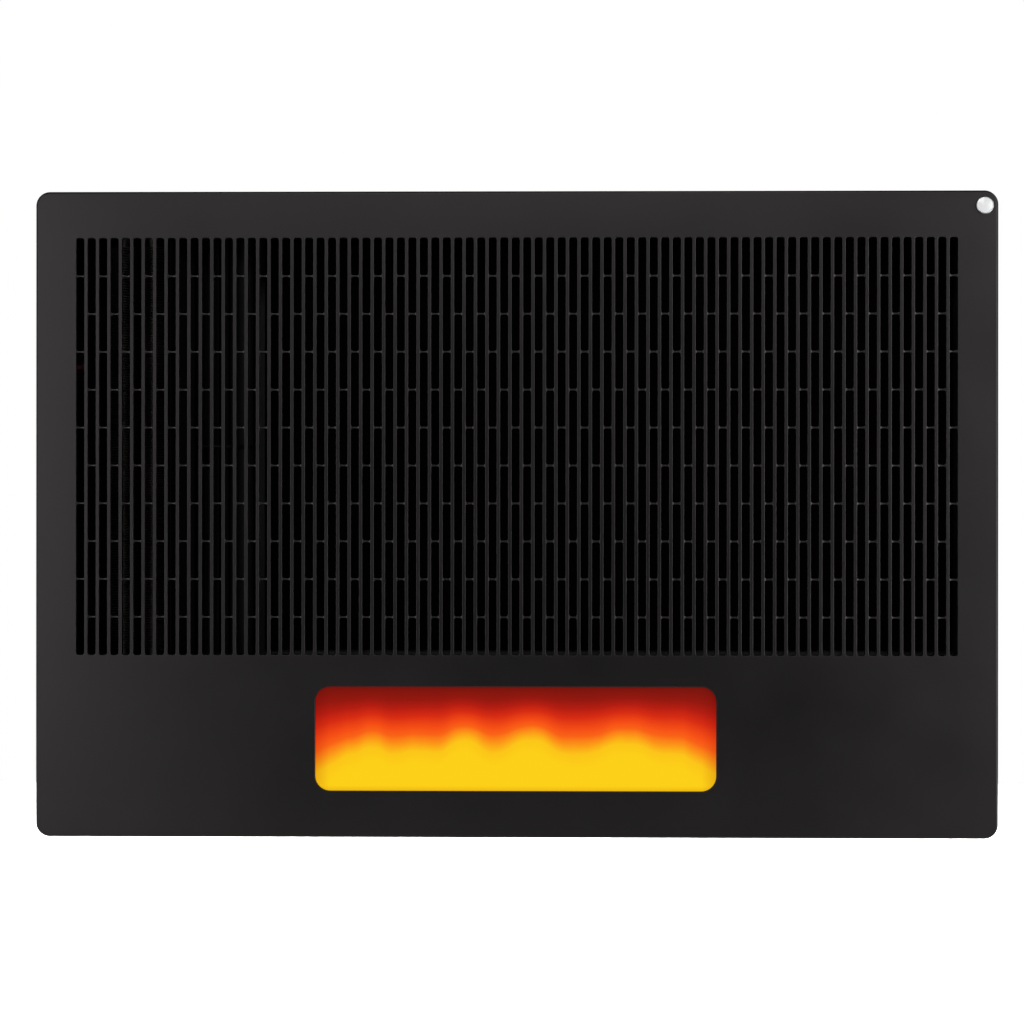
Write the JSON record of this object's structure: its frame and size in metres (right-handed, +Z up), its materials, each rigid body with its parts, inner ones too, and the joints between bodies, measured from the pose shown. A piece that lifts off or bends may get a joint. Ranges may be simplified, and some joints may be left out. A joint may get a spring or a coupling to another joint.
{
  "type": "electric fireplace",
  "caption": "Wall-hung electric fireplace with a slotted black front, a back-lit flame window, a blower heater inside and controls on its right side.",
  "frame": {"origin": "centre of the wall bracket's back face, which lies on the wall; level with the middle of the front panel", "axes": "+X to the right as seen from the front, +Y into the wall, +Z up; the front faces -Y"},
  "size_m": [0.96, 0.1325, 0.645],
  "materials": {
    "panel_coat": "fine-textured matt black powder coat on cast aluminium",
    "casing_coat": "matt black powder coat on folded steel sheet",
    "galvanised": "galvanised sheet steel",
    "bright_steel": "bright turned steel",
    "spring_steel": "blued spring steel",
    "rotor_aluminium": "bare rolled aluminium",
    "laminations": "varnished electrical steel laminations",
    "copper": "enamelled copper winding under tape",
    "bronze": "oil-soaked sintered bronze",
    "ceramic": "unglazed white ceramic",
    "black_plastic": "black moulded plastic",
    "white_plastic": "white moulded plastic",
    "red_plastic": "red moulded plastic",
    "rubber": "black rubber",
    "flame_pane": "back-lit translucent acrylic with a blurred flame picture, dark red above to yellow below",
    "circuit_board": "green solder-masked board",
    "mirror_film": "mirrored film on thin sheet",
    "cable": "grey cable sheath",
    "housing_coat": "matt black heat-proof coat on sheet steel",
    "dark_rotor": "black-coated aluminium",
    "hot_steel": "oxidised heater steel"
  },
  "bodies": {
    "chassis": {"light_box": "white_plastic", "lamp_board": "white_plastic", "thermal_cutout": "black_plastic", "control_box": "black_plastic", "control_lid": "black_plastic", "switch_bank": "black_plastic", "thermostat_body": "black_plastic", "cable_gland": "black_plastic", "casing_back": "casing_coat", "casing_top": "casing_coat", "casing_bottom": "casing_coat", "casing_left": "casing_coat", "casing_right": "casing_coat", "divider_shelf": "housing_coat", "wall_bracket": "galvanised", "blower_scroll": "housing_coat", "blower_tongue": "housing_coat", "blower_base_plate": "housing_coat", "blower_top_plate": "housing_coat", "motor_upper_bracket": "galvanised", "motor_lower_bracket": "galvanised", "flicker_motor": "galvanised", "heating_element": "hot_steel", "spring_clip_bottom_left": "spring_steel", "spring_clip_bottom_right": "spring_steel", "spring_clip_top_left": "spring_steel", "spring_clip_top_right": "spring_steel", "motor_stator": "laminations", "transformer": "laminations", "motor_coil": "copper", "top_bearing": "bronze", "heater_bush_left": "ceramic", "heater_bush_right": "ceramic", "wall_bumper_left": "rubber", "wall_bumper_right": "rubber", "flicker_bush": "rubber", "control_board": "circuit_board", "flame_mask": "mirror_film", "motor_lead": "cable", "lamp_lead": "cable", "heater_lead_left": "cable", "heater_lead_right": "cable"},
    "front_cover": {"front_panel": "panel_coat", "badge": "white_plastic", "flame_screen": "flame_pane", "screen_frame": "black_plastic", "panel_stud_bottom_left": "bright_steel", "panel_stud_bottom_right": "bright_steel", "panel_stud_top_left": "bright_steel", "panel_stud_top_right": "bright_steel"},
    "blower": {"blower_rotor": "dark_rotor", "blower_shaft": "bright_steel", "motor_rotor": "rotor_aluminium"},
    "flicker": {"flicker_rotor": "mirror_film"},
    "power_rocker": {"rocker_power": "black_plastic"},
    "flame_rocker": {"rocker_flame": "black_plastic"},
    "heat_rocker": {"rocker_heat": "black_plastic"},
    "thermostat": {"thermostat_knob": "black_plastic", "thermostat_spindle": "bright_steel"},
    "reset": {"reset_button": "red_plastic"}
  },
  "joints": [
    {"name": "front_cover_pull", "type": "slide", "parent": "chassis", "child": "front_cover", "axis": [0, -1, 0], "range_m": [0, 0.15]},
    {"name": "blower_spin", "type": "hinge", "parent": "chassis", "child": "blower", "pos_m": [-0.3, -0.062, 0], "axis": [0, 0, 1], "continuous": true},
    {"name": "flicker_spin", "type": "hinge", "parent": "chassis", "child": "flicker", "pos_m": [0, -0.062, -0.211], "axis": [1, 0, 0], "continuous": true},
    {"name": "power_rocker_tilt", "type": "hinge", "parent": "chassis", "child": "power_rocker", "pos_m": [0.4565, -0.1, -0.196], "axis": [0, 1, 0], "range_deg": [0, 20]},
    {"name": "flame_rocker_tilt", "type": "hinge", "parent": "chassis", "child": "flame_rocker", "pos_m": [0.4565, -0.08, -0.196], "axis": [0, 1, 0], "range_deg": [0, 20]},
    {"name": "heat_rocker_tilt", "type": "hinge", "parent": "chassis", "child": "heat_rocker", "pos_m": [0.4565, -0.06, -0.196], "axis": [0, 1, 0], "range_deg": [0, 20]},
    {"name": "thermostat_turn", "type": "hinge", "parent": "chassis", "child": "thermostat", "pos_m": [0.457, -0.08, -0.251], "axis": [1, 0, 0], "range_deg": [0, 270]},
    {"name": "reset_press", "type": "slide", "parent": "chassis", "child": "reset", "axis": [1, 0, 0], "range_m": [0, 0.0015], "stiffness_N_per_m": 400}
  ]
}
